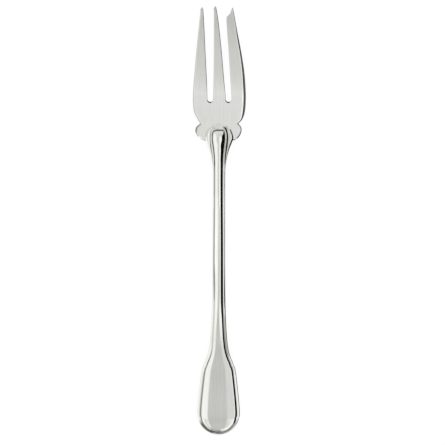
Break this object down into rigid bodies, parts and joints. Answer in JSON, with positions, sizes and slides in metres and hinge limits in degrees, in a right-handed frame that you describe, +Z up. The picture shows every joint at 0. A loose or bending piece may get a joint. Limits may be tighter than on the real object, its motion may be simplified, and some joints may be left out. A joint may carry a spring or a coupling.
{
  "type": "serving fork",
  "caption": "Slim polished silver serving fork: a flat head with long tapered tines, one wide with a cut tip, lobed shoulders, and a hollow handle with a threaded edge and a broad rounded end.",
  "frame": {"origin": "on the table, at the middle of the fork's length and width as it lies on its back with the tines up", "axes": "+Y along the fork towards the tine tips, +Z up out of the table, +X to the side of the wide tine"},
  "size_m": [0.0298, 0.24, 0.0162],
  "materials": {
    "silver_plate": "polished",
    "handle_cement": "matte"
  },
  "bodies": {
    "root": {"fork_head": "silver_plate", "handle_front_shell": "silver_plate", "handle_back_shell": "silver_plate", "cement_core": "handle_cement"}
  },
  "joints": []
}
